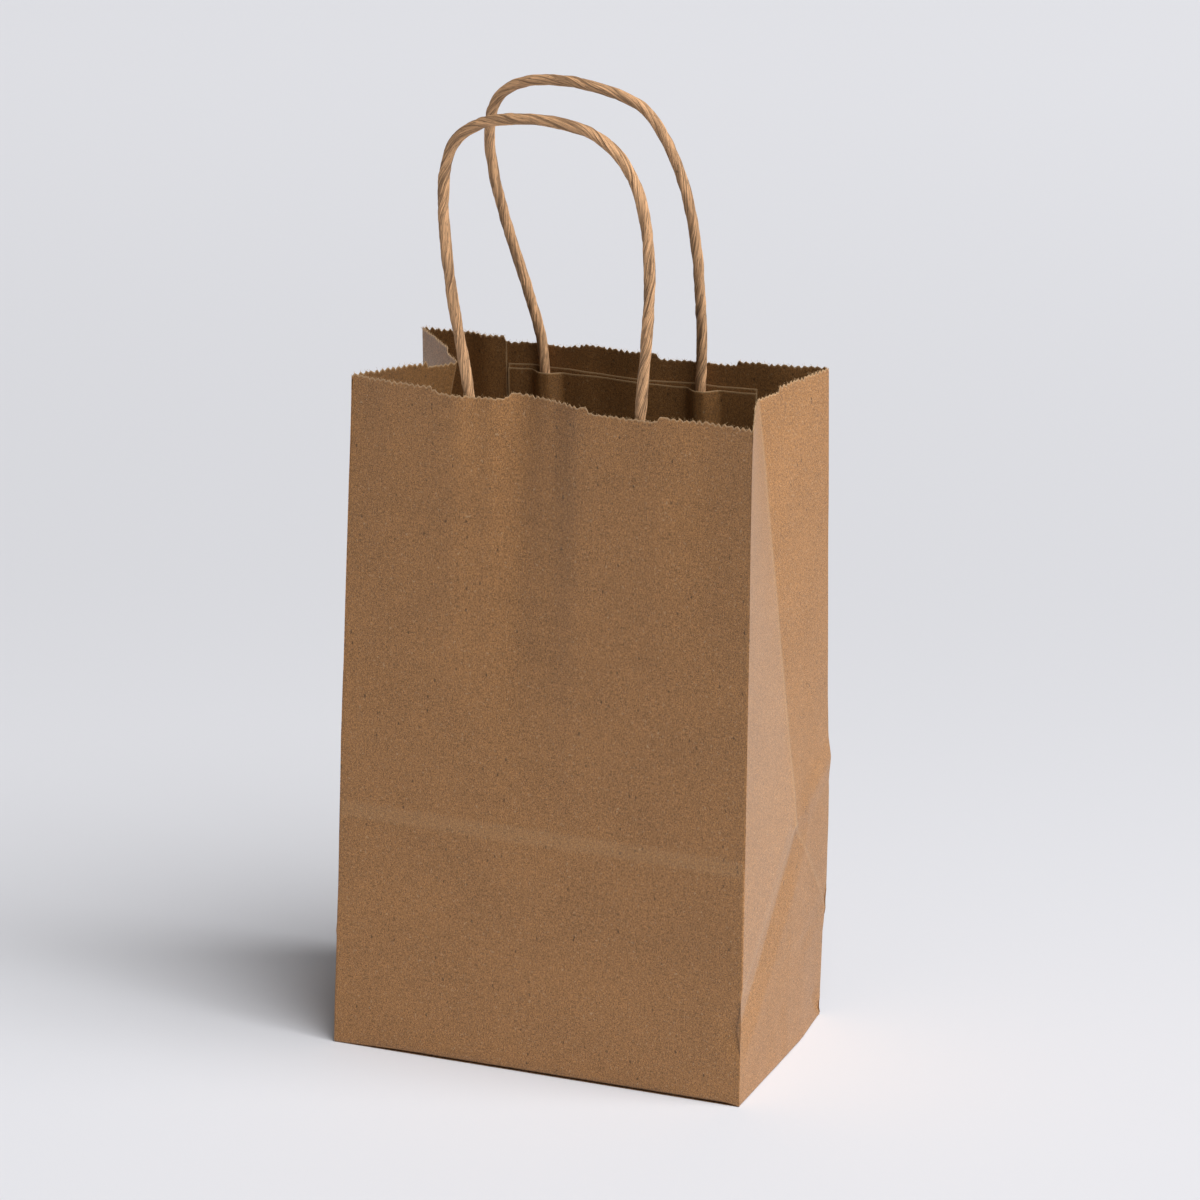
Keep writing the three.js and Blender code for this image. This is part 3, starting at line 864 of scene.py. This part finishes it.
def fibre_group():
    """Scatters short bent fibres along a line."""
    tree, nodes, given = node_group("Edge Fibres", {
        "Spacing": ("NodeSocketFloat", 0.35 * MM),
        "Length": ("NodeSocketFloat", 0.8 * MM),
        "Thickness": ("NodeSocketFloat", 0.03 * MM),
        "Seed": ("NodeSocketInt", 1),
        "Material": ("NodeSocketMaterial", None),
    })
    even = even_curve(nodes, given, "Spacing")

    def random(kind, low, high, seed):
        names = {"FLOAT": ("Min_001", "Max_001"), "FLOAT_VECTOR": ("Min", "Max"), "BOOLEAN": ()}[kind]
        inputs = dict(zip(names, (low, high)))
        inputs["Seed"] = given["Seed"] + seed
        if kind == "BOOLEAN":
            inputs["Probability"] = low
        return nodes.add("FunctionNodeRandomValue", {"data_type": kind}, inputs)[0]

    hair = nodes.add("GeometryNodeCurvePrimitiveLine", None, {"Start": (0, 0, 0), "End": (0, 0, 1.0)})[0]
    bent = nodes.add("GeometryNodeResampleCurve", {"mode": "COUNT"}, {"Curve": hair, "Count": 5})[0]
    placed = nodes.add("GeometryNodeInstanceOnPoints", None, {
        "Points": even,
        "Selection": random("BOOLEAN", 0.62, None, 11),
        "Instance": bent,
        "Rotation": random("FLOAT_VECTOR", (-1.1, -1.1, 0.0), (1.1, 1.1, 6.28), 12),
        "Scale": random("FLOAT", 0.35, 1.25, 13) * given["Length"],
    })[0]
    real = nodes.add("GeometryNodeRealizeInstances", None, {"Geometry": placed})[0]
    place = nodes.add("GeometryNodeInputPosition")[0]
    tip = nodes.add("GeometryNodeSplineParameter")[0]
    sway = nodes.noise(place, 900.0, 1.0, output="Color")
    away = nodes.vector("SUBTRACT", sway, (0.5, 0.5, 0.5))
    curled = nodes.add("GeometryNodeSetPosition", None, {
        "Geometry": real, "Offset": nodes.vector("SCALE", away, scale=tip * given["Length"] * 1.6),
    })[0]
    ring = nodes.add("GeometryNodeCurvePrimitiveCircle", {"mode": "RADIUS"}, {
        "Resolution": 3, "Radius": given["Thickness"],
    })[0]
    close_group(nodes, swept(nodes, curled, ring), given["Material"])
    return tree


def new_material(name):
    """A material and its empty tree."""
    material = bpy.data.materials.new(name)
    material.use_nodes = True
    return material, Nodes(material.node_tree)


def surface(nodes, base, roughness, normal=None, specular=0.35):
    """Ends a material in one Principled surface."""
    inputs = {"Base Color": colour(base), "Roughness": roughness, "Specular IOR Level": specular}
    if normal is not None:
        inputs["Normal"] = normal
    shader = nodes.add("ShaderNodeBsdfPrincipled", None, inputs)[0]
    nodes.add("ShaderNodeOutputMaterial", None, {"Surface": shader})


def pattern(nodes, point, squeeze, *noise):
    """Noise about nothing, squeezed along the axes."""
    return nodes.noise(nodes.vector("MULTIPLY", point, squeeze), *noise) - 0.5


def hairs(nodes, point, squeeze, scale, swirl, level, width, patches):
    """Thin curled lines that show in patches."""
    curl = nodes.noise(nodes.vector("MULTIPLY", point, squeeze), scale, 1.0, 0.5, swirl) - level
    patch_scale, low, high = patches
    patch = nodes.smooth(nodes.noise(point, patch_scale, 1.0), low, high)
    return nodes.fading(abs(curl), 0.0, width) * patch


def specks(nodes, point, squeeze, scale, size, chance):
    """Spots in some cells of a random pattern."""
    cells = nodes.cells(nodes.vector("MULTIPLY", point, squeeze), scale)
    picked = nodes.smooth(nodes.parts(cells[1])[0], *chance)
    return nodes.fading(cells[0], *size) * picked


def wear_and_sheen(nodes, shape, point, body, height, ragged, wide_ragged):
    """Paper with the tube's worn pale folds and the pale band at its crease, and a painted sheen on the
    front half of its right side.
    """
    s, z, _ = nodes.parts(point)
    flat = nodes.vector("MULTIPLY", point, (1.0, 1.0, 0.0))
    for start, end, strength in shape.folds():
        line = nodes.fading(nodes.segment(flat, start, end) + ragged, 0.0, 1.3)
        body = nodes.mix(line * (0.16 * strength), body, LIGHT_FIBRE)
        height = height + line * (0.5 * strength)
    left, right, rear = shape.stops[2:5]
    front = nodes.smooth(s, left, left + 1) * nodes.smooth(s, right, right - 1)
    band = nodes.fading(abs(z - (shape.upper - 0.6) + wide_ragged), 1.4, 3.4) * front
    body = nodes.mix(band * 0.13, body, LIGHT_FIBRE)
    # Painted sheen: the front half of the right side, reaching the front edge under the crease, is mixed
    # towards a pale colour as if it caught light.
    limit = ((z - PALE_FOOT) * PALE_SLOPE + right).math("MINIMUM", (right + rear) / 2)
    sheen_facet = nodes.smooth(s, right, right + 0.6) * nodes.smooth(s - limit, 1.2, -1.2)
    return nodes.mix(sheen_facet * 0.08, body, PALE_SHEEN), height


def kraft_material(name, settings, shape=None):
    """Kraft paper, its pattern laid on the flat sheet. With a shape it also shows the folds and a painted
    sheen.
    """
    material, nodes = new_material(name)
    point = nodes.vector("SCALE", nodes.attribute("sheet"), scale=1000.0)
    edge = nodes.attribute("edge", "Fac") * 1000.0

    cloud = nodes.noise(point, 0.05, 2.0) - 0.5
    grain = pattern(nodes, point, (0.8, 0.24, 1.0), 1.0, 3.0, 0.6)
    streak = pattern(nodes, point, (2.4, 1.2, 1.0), 1.0, 2.0, 0.6)
    fine = pattern(nodes, point, (5.0, 3.4, 1.0), 1.0, 1.0, 0.6)
    tone = cloud * 0.22 + grain * 0.6 + streak * 1.7 + fine * 2.5

    fibres = hairs(nodes, point, (1.0, 0.7, 1.0), 0.62, 0.9, 0.5, 0.03, (0.9, 0.52, 0.66))
    finer = hairs(nodes, point, (0.9, 1.1, 1.0), 0.85, 1.4, 0.53, 0.026, (1.15, 0.55, 0.68))
    fibres = fibres + finer * 0.8

    dark = specks(nodes, point, (1.0, 0.55, 1.0), 0.42, (0.07, 0.17), (0.55, 0.75))
    dots = specks(nodes, point, (1.0, 0.5, 1.0), 0.95, (0.06, 0.16), (0.6, 0.8))
    light = specks(nodes, point, (1.0, 0.5, 1.0), 0.95, (0.03, 0.12), (0.26, 0.12))

    kraft = Vector(settings.kraft)
    body = nodes.mix(tone.math("ADD", 0.5, clamp=True), kraft * 0.38, kraft * 1.60)
    body = nodes.mix(dark * 0.85, body, kraft * 0.25)
    body = nodes.mix(dots * 0.55, body, kraft * 0.45)
    body = nodes.mix(light * 0.7, body, LIGHT_FIBRE)
    body = nodes.mix(fibres * 0.6, body, LIGHT_FIBRE)
    height = tone * 0.7 + fibres * 0.25 - dark * 0.2

    if shape is not None:
        body, height = wear_and_sheen(nodes, shape, point, body, height, streak * 0.5 + grain * 0.5, grain * 2.2)

    # Painted shade: faces inside the tube, the base and the strips are darkened towards a deep kraft
    # tone, as where little light reaches.
    inner = nodes.smooth(nodes.parts(point)[2], 1.0, 20.0)
    body = nodes.mix(inner * 0.46, body, kraft * 0.12)
    # Paler torn fibres along every cut edge, and with them a painted highlight where the edge catches
    # light.
    torn = nodes.fading(edge + fine * 1.2, 0.1, 0.55)
    body = nodes.mix(torn * 0.72, body, LIGHT_FIBRE)
    bump = nodes.add("ShaderNodeBump", None, {"Strength": 0.55, "Distance": 0.00011, "Height": height})[0]
    surface(nodes, body, nodes.smooth(tone, -0.5, 0.5, 0.48, 0.36), bump, 0.5)
    return material


def cord_material(name, settings):
    """Twisted paper: folds and streaks that follow the lay, with painted shade in its folds and cracks.
    """
    material, nodes = new_material(name)
    lay = nodes.vector("SCALE", nodes.attribute("lay"), scale=1000.0)
    fold = nodes.cells(nodes.vector("MULTIPLY", lay, (1.0, 1.0, 0.02)), 0.64, "DISTANCE_TO_EDGE")[0]
    wide = pattern(nodes, lay, (1.0, 1.0, 0.12), 0.9, 2.0)
    streak = pattern(nodes, lay, (5.0, 5.0, 0.25), 1.0, 3.0, 0.6)
    wrinkle = pattern(nodes, lay, (2.3, 2.3, 0.12), 1.0, 1.0, 0.5, 0.6)
    shaded_crack = nodes.fading(abs(wrinkle), 0.0, 0.038)
    groove = nodes.fading(fold + streak * 0.05, 0.0, 0.10)
    tone = wide * 0.8 + streak * 1.6
    twine = Vector(settings.twine)
    body = nodes.mix(tone.math("ADD", 0.5, clamp=True), twine * 0.50, twine * 1.50)
    # Painted shade: the folds between the strands and the thin cracks are darkened as if in shadow.
    body = nodes.mix(groove * 0.7, body, twine * 0.27)
    body = nodes.mix(shaded_crack * 0.8, body, twine * 0.20)
    speck = specks(nodes, lay, (1.0, 1.0, 0.5), 0.8, (0.05, 0.15), (0.6, 0.8))
    body = nodes.mix(speck * 0.4, body, twine * 0.5)
    height = tone * 0.8 - groove * 0.8 - shaded_crack * 0.5
    bump = nodes.add("ShaderNodeBump", None, {"Strength": 0.7, "Distance": 0.00028, "Height": height})[0]
    surface(nodes, body, 0.72, bump)
    return material


def plain_material(name, base, roughness):
    """One flat colour."""
    material, nodes = new_material(name)
    surface(nodes, base, roughness, specular=0.2)
    return material


def floor_material(name, settings):
    """A matt floor with painted light: its tone changes slowly from the front to the far end and is
    brighter towards the right.
    """
    material, nodes = new_material(name)
    x, y, _ = nodes.parts(nodes.named("Object", "ShaderNodeTexCoord"))
    turn = radians(CAMERA["azimuth"])
    far = x * -sin(turn) + y * cos(turn)
    across = x * cos(turn) + y * sin(turn)
    ahead = (far + CAMERA_AHEAD).math("MAXIMUM", 1.0)
    aside = (across / ahead).math("MAXIMUM", -FLOOR_SIDE).math("MINIMUM", FLOOR_SIDE)
    # Painted light: the floor is painted brighter towards the right and changes with distance, as the
    # lamps fall on it.
    tone = 1.0 + aside * FLOOR_SIDE_LIGHT
    for start, stop, change in FLOOR_LIGHT_FALLOFF:
        tone = tone + nodes.smooth(far, start, stop) * change
    surface(nodes, nodes.vector("SCALE", Vector(settings.floor), scale=tone), 0.9, specular=0.1)
    return material


def sheet_columns(shape):
    """Distances round the sheet at which its points stand: even runs, and more at the folds."""
    runs = [np.linspace(a, b, n + 1) for a, b, n in zip(shape.stops, shape.stops[1:], RUN_STEPS)]
    corners = shape.stops[1:5]
    middles = (shape.stops[[1, 3]] + shape.stops[[2, 4]]) / 2
    close = [fold + step for fold in (*corners, *middles) for step in FOLD_STEPS]
    return np.unique(np.round(np.concatenate([*runs, close]), 6))


def sheet_levels(shape, mouth):
    """Heights at which the sheet's points stand, up to the finer band at the mouth."""
    stops = (CURL_HEIGHT, shape.lower, shape.upper, mouth)
    rises = [np.linspace(a, b, n) for a, b, n in zip(stops, stops[1:], LEVEL_COUNTS)]
    return np.unique(np.round(np.concatenate([FOOT_LEVELS, *rises]), 6))


def falling_cells(shape, columns, levels):
    """Cells cut by the other diagonal, so that each side's slanting crease runs along triangle edges."""
    middle = (columns[1:] + columns[:-1]) / 2
    falls = np.zeros(len(middle), bool)
    for first in (1, 3):
        half = (shape.stops[first] + shape.stops[first + 1]) / 2
        falls |= (middle > half) & (middle < shape.stops[first + 1])
    return (levels[:-1] < shape.upper)[:, None] & falls[None, :]


def seam_fan(count, low_start, high_start):
    """Triangles between a coarse row of points and a row with MOUTH_FINE times as many cells."""
    half = MOUTH_FINE // 2 + 1
    fan = []
    for c in range(count - 1):
        low, high = low_start + c, high_start + c * MOUTH_FINE
        fan += [(low, high + k + 1, high + k) for k in range(half)]
        fan.append((low, low + 1, high + half))
        fan += [(low + 1, high + k + 1, high + k) for k in range(half, MOUTH_FINE)]
    return np.array(fan)


def body_mesh(shape):
    """The paper tube with its cut mouth: points, faces, attributes and the line of its cut edge."""
    mouth = shape.height - MOUTH_BAND
    columns = sheet_columns(shape)
    levels = sheet_levels(shape, mouth)
    s, z = np.meshgrid(columns, levels)
    cells = np.arange((len(columns) - 1) * MOUTH_FINE + 1) / MOUTH_FINE
    across = np.interp(cells, np.arange(len(columns)), columns)
    edge = shape.cut(across)
    shares = np.linspace(0, 1, MOUTH_ROWS + 1)[1:]
    fine_s = np.tile(across, (MOUTH_ROWS, 1))
    fine_z = mouth + shares[:, None] * (edge - mouth)

    all_s = np.concatenate([s.ravel(), fine_s.ravel()])
    all_z = np.concatenate([z.ravel(), fine_z.ravel()])
    start = s.size
    triangles = np.concatenate([
        grid_triangles(len(levels), len(columns), falling_cells(shape, columns, levels)),
        grid_triangles(MOUTH_ROWS, len(across)) + start,
        seam_fan(len(columns), start - len(columns), start),
    ])

    points = shape.rounded(all_s, all_z)
    normals = vertex_normals(points, triangles)
    points = points + normals * shape.relief(all_s, all_z)[:, None]
    curl = np.clip(1 - all_z / CURL_HEIGHT, 0, 0.98)
    points = points - normals * (CURL_DEPTH * (1 - np.sqrt(1 - curl**2)))[:, None]
    lift = shape.lift(all_s) * np.clip(1 - all_z / FOOT_LIFT_TOP, 0, 1)
    points[:, 2] = np.maximum(points[:, 2], 0.0) + lift

    under = np.interp(all_s, across, edge) - all_z
    free = np.minimum(all_s, shape.stops[-1] - all_s)
    solid, faces = thicken(points, triangles, shape.paper)
    inside = np.repeat([0.0, INNER_MARK], len(points))
    flat = np.stack([np.tile(all_s, 2), np.tile(all_z, 2), inside], 1) * MM
    rim = points[start + (MOUTH_ROWS - 1) * len(across):]
    return solid, faces, {"sheet": flat, "edge": np.tile(np.minimum(under, free), 2) * MM}, rim


def slab(outline, low, high):
    """A flat layer between two heights, fanned from its first point."""
    outline = np.array(outline, float)
    count = len(outline)
    under = np.column_stack([outline, np.full(count, low)])
    over = np.column_stack([outline, np.full(count, high)])
    fan = [(0, i, i + 1) for i in range(1, count - 1)]
    faces = [(a, c, b) for a, b, c in fan] + [(a + count, b + count, c + count) for a, b, c in fan]
    for i in range(count):
        j = (i + 1) % count
        faces += [(i, j, j + count), (i, j + count, i + count)]
    return np.concatenate([under, over]), np.array(faces)


def joined(parts):
    """Several meshes as one."""
    points, faces, count = [], [], 0
    for part, triangles in parts:
        points.append(part)
        faces.append(triangles + count)
        count += len(part)
    return np.concatenate(points), np.concatenate(faces)


class CARRIERBAG_OT_body(bpy.types.Operator):
    """Build the paper tube with its folds, its glued lap and its cut mouth"""

    bl_idname = "carrier_bag.body"
    bl_label = "Bag Body"

    def execute(self, context):
        settings = context.scene.carrier_bag
        shape = BagShape(settings)
        points, faces, attributes, rim = body_mesh(shape)
        piece = new_object("paper_tube", points, faces, attributes)
        finish_piece(piece, kraft_material("Kraft Paper", settings, shape), "kraft_paper", "bag_body")

        source = new_line("mouth_line", rim)
        fibre = plain_material("Paper Fibre", LIGHT_FIBRE, 0.8)
        run_group(source, fibre_group(), {"Seed": settings.seed, "Material": fibre})
        finish_piece(converted(source, "mouth_fibres"), fibre, "kraft_paper", "bag_body")
        return {"FINISHED"}


class CARRIERBAG_OT_base(bpy.types.Operator):
    """Build the folded base under the bag"""

    bl_idname = "carrier_bag.base"
    bl_label = "Folded Base"

    def execute(self, context):
        settings = context.scene.carrier_bag
        shape = BagShape(settings)
        x, y = shape.width / 2 - BASE_INSET, shape.depth / 2 - BASE_INSET
        flap = x - (y + BASE_LAP)
        tip = x - y
        rear_right = (x + EDGE_SHIFT[1][0] - BASE_CORNER[0], y - BASE_CORNER[1])
        layers = [
            (0, [(-x, -y), (x, -y), (flap, BASE_LAP), (-flap, BASE_LAP)]),
            (1, [rear_right, (-x, y), (-flap, -BASE_LAP), (flap, -BASE_LAP)]),
            (2, [(x, -y), rear_right, (tip, 0)]),
            (2, [(-x, y), (-x, -y), (-tip, 0)]),
            (3, [(-x, -y), (x, -y), rear_right, (-x, y)]),
        ]
        parts = []
        for layer, outline in layers:
            low = layer * (shape.paper + BASE_AIR)
            parts.append(slab(outline, max(low, BASE_CLEAR), low + shape.paper))
        points, faces = joined(parts)
        flat = (points + (0, 0, BASE_MARK)) * MM
        edge = np.full(len(points), UNTORN) * MM
        piece = new_object("folded_base", points, faces, {"sheet": flat, "edge": edge})
        finish_piece(piece, kraft_material("Kraft Base", settings), "kraft_paper", "bag_body", sharp=30.0)
        return {"FINISHED"}


class CARRIERBAG_OT_strips(bpy.types.Operator):
    """Build the four strips that hold the handles"""

    bl_idname = "carrier_bag.strips"
    bl_label = "Handle Strips"

    def execute(self, context):
        settings = context.scene.carrier_bag
        shape = BagShape(settings)
        material = kraft_material("Kraft Strip", settings)
        for wall in ("front", "rear"):
            left = STRIP_CENTRE - STRIP_WIDTH / 2
            if wall == "rear":
                left = SEAM_EDGE + shape.gap + STRIP_CLEAR
            ends = (left, STRIP_CENTRE + STRIP_WIDTH / 2)
            self.build(shape, material, wall, "base", ends, -BASE_TOP, shape.gap)
            self.build(shape, material, wall, "cover", ends, -COVER_TOP, shape.paper + 2 * shape.gap)
        return {"FINISHED"}

    def build(self, shape, material, wall, kind, ends, top, lift):
        """One strip on a wall, between two places along it, its top edge this high."""
        across = np.linspace(*ends, STRIP_POINTS[0])
        rows = np.linspace(top - STRIP_HEIGHT, top, STRIP_POINTS[1])
        along, up = np.meshgrid(across, rows)
        seed = shape.seed + (24 if kind == "base" else 25)
        waver = STRIP_WAVER * clouds(along, 0 * up, STRIP_WAVER_PITCH, 1, seed)
        up = up + waver * (up - rows[0]) / STRIP_HEIGHT
        rise = shape.cover_rise(wall, along, up) if kind == "cover" else 0.0
        outer = shape.strip(wall, along, up, lift, rise).reshape(-1, 3)
        triangles = grid_triangles(*along.shape)
        if wall == "rear":
            triangles = triangles[:, ::-1]
        points, faces = thicken(outer, triangles, shape.paper)
        border = np.minimum.reduce([along - ends[0], ends[1] - along, up - up[:1], up[-1:] - up]).ravel()
        mark = STRIP_MARKS[kind]
        flat = np.stack([along.ravel(), up.ravel() + mark, np.full(along.size, mark)], 1) * MM
        attributes = {"sheet": np.tile(flat, (2, 1)), "edge": np.tile(border, 2) * MM}
        piece = new_object(f"{wall}_{kind}_paper", points, faces, attributes)
        finish_piece(piece, material, "kraft_paper", f"{wall}_{kind}_strip")


class CARRIERBAG_OT_handles(bpy.types.Operator):
    """Build the two handles of twisted paper"""

    bl_idname = "carrier_bag.handles"
    bl_label = "Twisted Handles"

    def execute(self, context):
        settings = context.scene.carrier_bag
        shape = BagShape(settings)
        material = cord_material("Twisted Paper", settings)
        tree = cord_group()
        for turn, wall in enumerate(("front", "rear")):
            source = new_line(wall + "_line", shape.handle(wall))
            run_group(source, tree, {
                "Diameter": settings.cord,
                "Pitch": settings.cord_pitch,
                "Seed": float(settings.seed + 3 * turn),
                "Material": material,
            })
            cord = converted(source, wall + "_cord")
            finish_piece(cord, material, "twisted_paper_cord", wall + "_handle", sharp=60.0)
        return {"FINISHED"}


class CARRIERBAG_OT_stage(bpy.types.Operator):
    """Build the floor, the lights, the world and the camera"""

    bl_idname = "carrier_bag.stage"
    bl_label = "Stage"

    def execute(self, context):
        settings = context.scene.carrier_bag
        scene = context.scene
        signs = ((-1, -1), (1, -1), (1, 1), (-1, 1))
        corners = [(x * FLOOR_REACH, y * FLOOR_REACH, -FLOOR_DROP) for x, y in signs]
        floor = new_object("studio_floor", corners, [(0, 1, 2, 3)])
        floor.data.materials.append(floor_material("Pale Floor", settings))

        world = bpy.data.worlds.new("Studio")
        world.use_nodes = True
        nodes = Nodes(world.node_tree)
        white = {"Color": (1.0, 1.0, 1.0, 1.0), "Strength": SKY_STRENGTH}
        sky = nodes.add("ShaderNodeBackground", None, white)[0]
        nodes.add("ShaderNodeOutputWorld", None, {"Surface": sky})
        scene.world = world

        for name, energy, spread, towards in LAMPS:
            lamp = bpy.data.lights.new(name, "SUN")
            lamp.energy = energy
            lamp.angle = radians(spread)
            linked(name, lamp).rotation_euler = Vector(towards).to_track_quat("Z", "Y").to_euler()

        self.add_camera(scene)
        scene.view_settings.view_transform = "Standard"
        return {"FINISHED"}

    def add_camera(self, scene):
        a, e, r = (radians(CAMERA[key]) for key in ("azimuth", "elevation", "roll"))
        back = Vector((sin(a) * cos(e), -cos(a) * cos(e), sin(e)))
        level = Vector((cos(a), sin(a), 0.0))
        upright = back.cross(level)
        right = level * cos(r) + upright * sin(r)
        up = upright * cos(r) - level * sin(r)
        lens = bpy.data.cameras.new("view")
        lens.lens = CAMERA["lens"]
        lens.sensor_width = 36.0
        lens.clip_end = 50.0
        camera = linked("view", lens)
        turned = Matrix((right, up, back)).transposed()
        place = Vector(CAMERA["target"]) + back * CAMERA["distance"]
        camera.matrix_world = Matrix.Translation(place) @ turned.to_4x4()
        scene.camera = camera


class CARRIERBAG_PT_panel(bpy.types.Panel):
    """Lists the bag's settings and its pieces"""

    bl_idname = "CARRIERBAG_PT_panel"
    bl_label = "Carrier Bag"
    bl_space_type = "VIEW_3D"
    bl_region_type = "UI"
    bl_category = "Carrier Bag"

    def draw(self, context):
        settings = context.scene.carrier_bag
        column = self.layout.column()
        for name in CarrierBagSettings.__annotations__:
            column.prop(settings, name)
        for piece in PIECES:
            column.operator(piece.bl_idname)


PIECES = (
    CARRIERBAG_OT_body,
    CARRIERBAG_OT_base,
    CARRIERBAG_OT_strips,
    CARRIERBAG_OT_handles,
    CARRIERBAG_OT_stage,
)


def register():
    bpy.utils.register_class(CarrierBagSettings)
    bpy.types.Scene.carrier_bag = PointerProperty(type=CarrierBagSettings)
    for piece in (*PIECES, CARRIERBAG_PT_panel):
        bpy.utils.register_class(piece)


def unregister():
    for piece in (CARRIERBAG_PT_panel, *reversed(PIECES)):
        bpy.utils.unregister_class(piece)
    del bpy.types.Scene.carrier_bag
    bpy.utils.unregister_class(CarrierBagSettings)


def main():
    register()
    bpy.ops.carrier_bag.body()
    bpy.ops.carrier_bag.base()
    bpy.ops.carrier_bag.strips()
    bpy.ops.carrier_bag.handles()
    bpy.ops.carrier_bag.stage()


if __name__ == "__main__":
    main()
